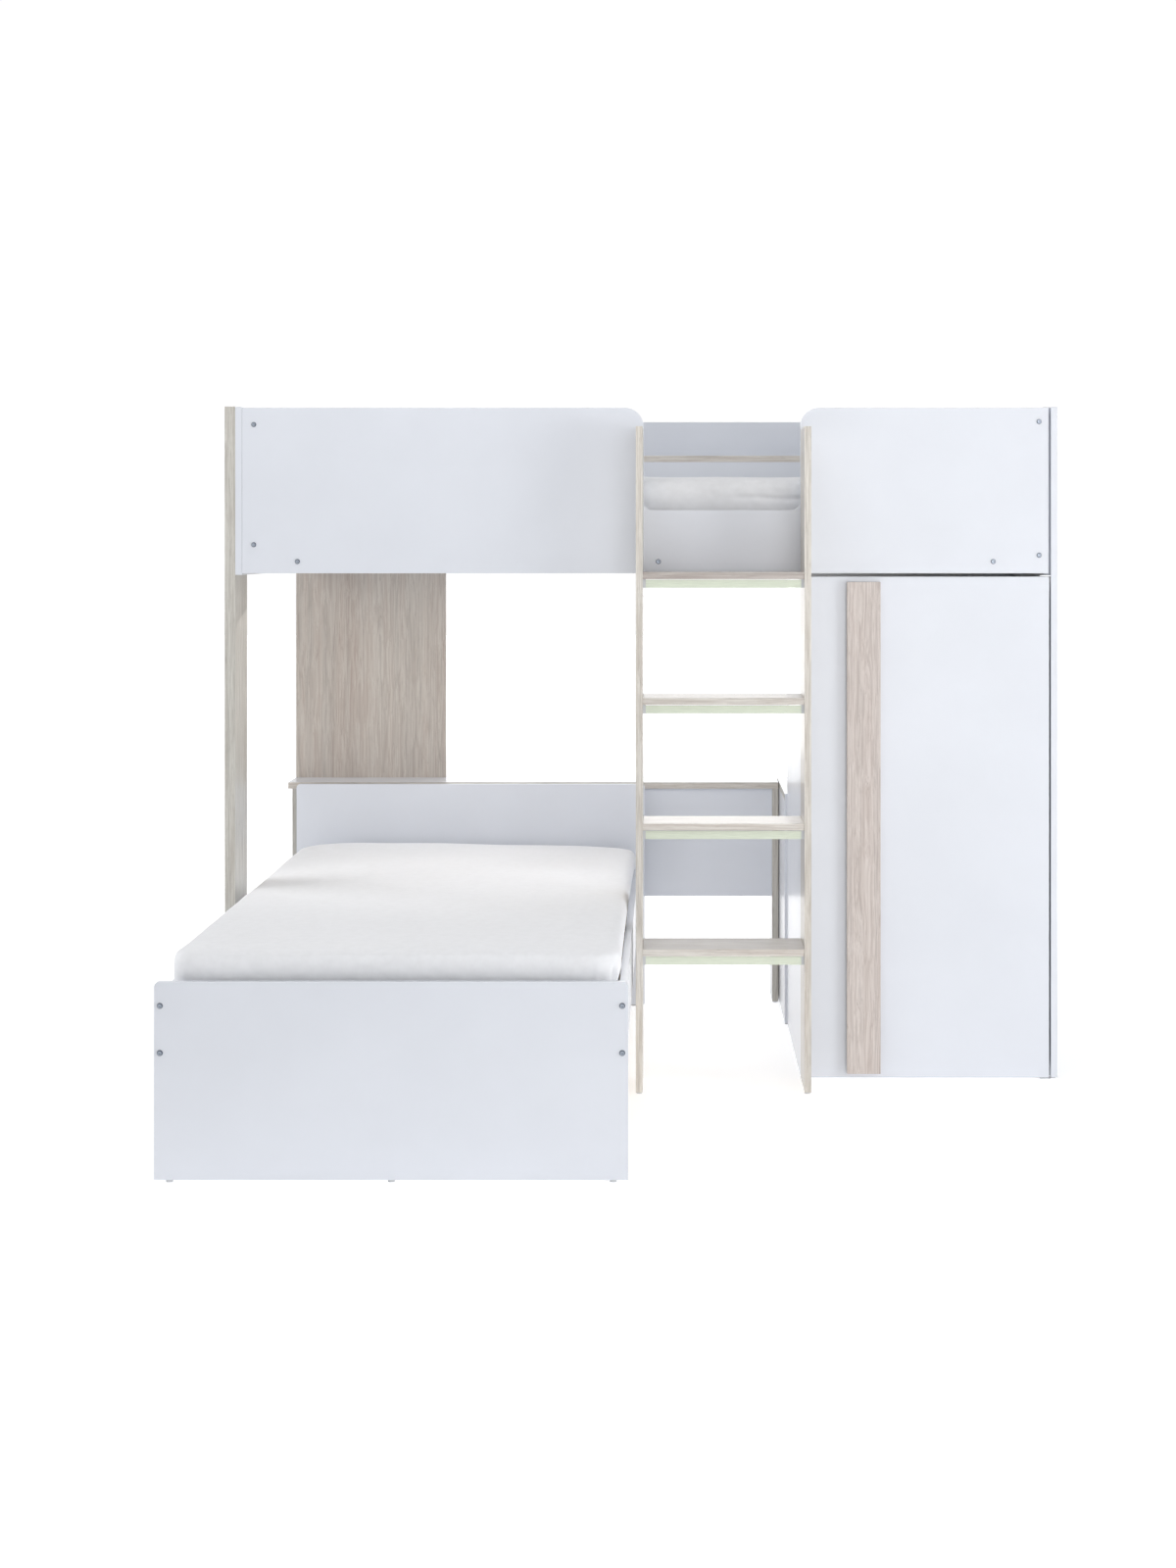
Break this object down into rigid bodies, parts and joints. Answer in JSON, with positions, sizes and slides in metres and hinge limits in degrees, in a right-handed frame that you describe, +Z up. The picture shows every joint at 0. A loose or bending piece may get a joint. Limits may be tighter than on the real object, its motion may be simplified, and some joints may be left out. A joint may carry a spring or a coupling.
{
  "type": "l-shaped bunk bed",
  "caption": "L-shaped bunk bed: a high bunk on a wardrobe and posts, with a stepped ladder, rear shelf and desk, over a free-standing bed set across it.",
  "frame": {"origin": "middle of the whole bed's outer box, on the floor", "axes": "+X along the upper bunk towards the wardrobe, +Y from the lower bed's foot to the rear, +Z up"},
  "size_m": [1.982, 2.153, 1.62],
  "materials": {
    "white_board": "satin white laminate on particle board",
    "oak_board": "satin pale oak laminate",
    "slat_wood": "plain planed wood",
    "mattress_fabric": "matt cotton sheet",
    "glow_strip": "pale green glow plastic",
    "grey_plastic": "satin light grey",
    "bright_steel": "zinc-plated"
  },
  "bodies": {
    "frame": {"left_post": "oak_board", "left_end_panel": "white_board", "right_side_panel": "white_board", "right_end_panel": "white_board", "right_rear_post": "oak_board", "front_guard": "white_board", "guard_battens": "white_board", "guard_bolts": "bright_steel", "front_ledger": "white_board", "rear_ledger": "white_board", "rear_side": "white_board", "upper_slats": "slat_wood", "upper_mattress": "mattress_fabric", "ledge_shelf": "white_board", "back_panel": "white_board", "rear_leg_panel": "oak_board", "console_top": "white_board", "console_left_leg": "white_board", "console_right_leg": "white_board", "console_apron": "white_board", "desk_top": "white_board", "desk_left_side": "white_board", "desk_ledger": "white_board", "ladder_left_upright": "oak_board", "ladder_right_upright": "oak_board", "ladder_step_1": "oak_board", "ladder_step_2": "oak_board", "ladder_step_3": "oak_board", "ladder_step_4": "oak_board", "step_strips": "glow_strip", "step_brackets": "grey_plastic", "ladder_screws": "bright_steel", "wardrobe_left_side": "white_board", "wardrobe_top": "white_board", "wardrobe_bottom": "white_board", "wardrobe_back": "white_board", "wardrobe_shelf": "white_board", "shelf_pins": "bright_steel", "hanging_rail": "bright_steel", "rail_sockets": "bright_steel", "door_stop": "white_board", "door_magnet": "grey_plastic", "upper_pivot": "bright_steel", "lower_pivot": "bright_steel", "bunk_glides": "grey_plastic"},
    "door": {"door_panel": "white_board", "handle_batten": "oak_board", "handle_spacer": "oak_board", "handle_screws": "bright_steel", "door_strike": "bright_steel"},
    "lower_bed": {"headboard": "white_board", "footboard": "white_board", "left_rail": "white_board", "right_rail": "white_board", "rail_ledgers": "slat_wood", "lower_slats": "slat_wood", "lower_mattress": "mattress_fabric", "bed_bolts": "bright_steel", "bed_barrel_nuts": "bright_steel", "bed_glides": "grey_plastic"}
  },
  "joints": [
    {"name": "door_hinge", "type": "hinge", "parent": "frame", "child": "door", "pos_m": [0.963, -0.0865, 0.6], "axis": [0, 0, 1], "range_deg": [0, 105]},
    {"name": "bed_slide", "type": "slide", "parent": "frame", "child": "lower_bed", "axis": [0, -1, 0], "range_m": [0, 0.6]}
  ]
}
